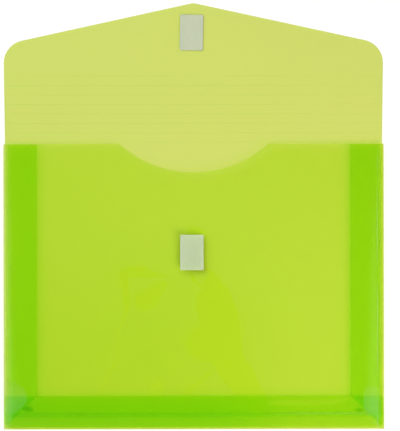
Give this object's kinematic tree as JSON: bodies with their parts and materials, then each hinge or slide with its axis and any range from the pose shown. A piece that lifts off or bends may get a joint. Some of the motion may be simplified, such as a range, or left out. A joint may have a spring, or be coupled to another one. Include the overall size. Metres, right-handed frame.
{
  "type": "plastic expanding envelope",
  "caption": "Clear plastic document envelope with expanding V-folded gussets on three sides, a multi-scored fold-over flap, a thumb notch and a hook and loop closure.",
  "frame": {"origin": "middle of the back panel's underside, between the bottom edge and the mouth", "axes": "+Z out of the front panel, +Y from the bottom edge to the flap's tip, +X to the right seen from the front"},
  "size_m": [0.3302, 0.3699, 0.0074],
  "materials": {
    "film": "clear yellow-green film, semi-gloss, seen darker where films lie on each other",
    "hook_nylon": "translucent hook tape, fine rows of moulded hooks",
    "loop_nylon": "translucent looped pile",
    "adhesive": "clear pressure-sensitive adhesive"
  },
  "bodies": {
    "back": {"back_panel": "film", "left_margin_back": "film", "right_margin_back": "film", "bottom_margin_back": "film"},
    "bottom_back": {"bottom_gusset_back": "film"},
    "bottom_front": {"bottom_gusset_front": "film", "front_hem": "film"},
    "front": {"front_panel": "film", "left_margin_front": "film", "right_margin_front": "film", "bottom_margin_front": "film", "hook_adhesive": "adhesive", "hook_tape": "hook_nylon"},
    "left_back": {"left_gusset_back": "film"},
    "left_front": {"left_gusset_front": "film"},
    "right_back": {"right_gusset_back": "film"},
    "right_front": {"right_gusset_front": "film"},
    "strip_1": {"flap_strip_1": "film"},
    "strip_2": {"flap_strip_2": "film"},
    "strip_3": {"flap_strip_3": "film"},
    "strip_4": {"flap_strip_4": "film"},
    "strip_5": {"flap_strip_5": "film"},
    "strip_6": {"flap_strip_6": "film"},
    "strip_7": {"flap_strip_7": "film"},
    "flap": {"flap_tip": "film", "loop_adhesive": "adhesive", "loop_tape": "loop_nylon"}
  },
  "joints": [
    {"name": "expand", "type": "hinge", "parent": "back", "child": "bottom_back", "pos_m": [0, -0.11933, 0.0011], "axis": [1, 0, 0], "range_deg": [-2.6, 85.4]},
    {"name": "bottom_fold", "type": "hinge", "parent": "bottom_back", "child": "bottom_front", "pos_m": [0, -0.09533, 0.00303], "axis": [1, 0, 0], "range_deg": [-170.8, 5.2]},
    {"name": "front_crease", "type": "hinge", "parent": "bottom_front", "child": "front", "pos_m": [0, -0.11933, 0.00496], "axis": [1, 0, 0], "range_deg": [-2.6, 85.4]},
    {"name": "left_crease", "type": "hinge", "parent": "back", "child": "left_back", "pos_m": [-0.1606, 0, 0.0011], "axis": [0, -1, 0], "range_deg": [-2.6, 85.4]},
    {"name": "left_fold", "type": "hinge", "parent": "left_back", "child": "left_front", "pos_m": [-0.1366, 0, 0.00303], "axis": [0, -1, 0], "range_deg": [-170.8, 5.2]},
    {"name": "right_crease", "type": "hinge", "parent": "back", "child": "right_back", "pos_m": [0.1606, 0, 0.0011], "axis": [0, 1, 0], "range_deg": [-2.6, 85.4]},
    {"name": "right_fold", "type": "hinge", "parent": "right_back", "child": "right_front", "pos_m": [0.1366, 0, 0.00303], "axis": [0, 1, 0], "range_deg": [-170.8, 5.2]},
    {"name": "score_1", "type": "hinge", "parent": "back", "child": "strip_1", "pos_m": [0, 0.12543, 0.0004], "axis": [1, 0, 0], "range_deg": [0, 90]},
    {"name": "score_2", "type": "hinge", "parent": "strip_1", "child": "strip_2", "pos_m": [0, 0.13367, 0.0004], "axis": [-1, 0, 0], "range_deg": [-90, 0]},
    {"name": "score_3", "type": "hinge", "parent": "strip_2", "child": "strip_3", "pos_m": [0, 0.14192, 0.0004], "axis": [-1, 0, 0], "range_deg": [-18, 0]},
    {"name": "score_4", "type": "hinge", "parent": "strip_3", "child": "strip_4", "pos_m": [0, 0.15018, 0.0004], "axis": [-1, 0, 0], "range_deg": [-18, 0]},
    {"name": "score_5", "type": "hinge", "parent": "strip_4", "child": "strip_5", "pos_m": [0, 0.15843, 0.0004], "axis": [-1, 0, 0], "range_deg": [-18, 0]},
    {"name": "score_6", "type": "hinge", "parent": "strip_5", "child": "strip_6", "pos_m": [0, 0.16667, 0.0004], "axis": [-1, 0, 0], "range_deg": [-18, 0]},
    {"name": "score_7", "type": "hinge", "parent": "strip_6", "child": "strip_7", "pos_m": [0, 0.17492, 0.0004], "axis": [-1, 0, 0], "range_deg": [-18, 0]},
    {"name": "score_8", "type": "hinge", "parent": "strip_7", "child": "flap", "pos_m": [0, 0.18318, 0.0004], "axis": [1, 0, 0], "range_deg": [0, 90]}
  ],
  "couplings": [
    {"joint": "bottom_fold", "follows": "expand", "ratio": -2},
    {"joint": "front_crease", "follows": "expand", "ratio": 1},
    {"joint": "left_crease", "follows": "expand", "ratio": 1},
    {"joint": "left_fold", "follows": "expand", "ratio": -2},
    {"joint": "right_crease", "follows": "expand", "ratio": 1},
    {"joint": "right_fold", "follows": "expand", "ratio": -2}
  ]
}
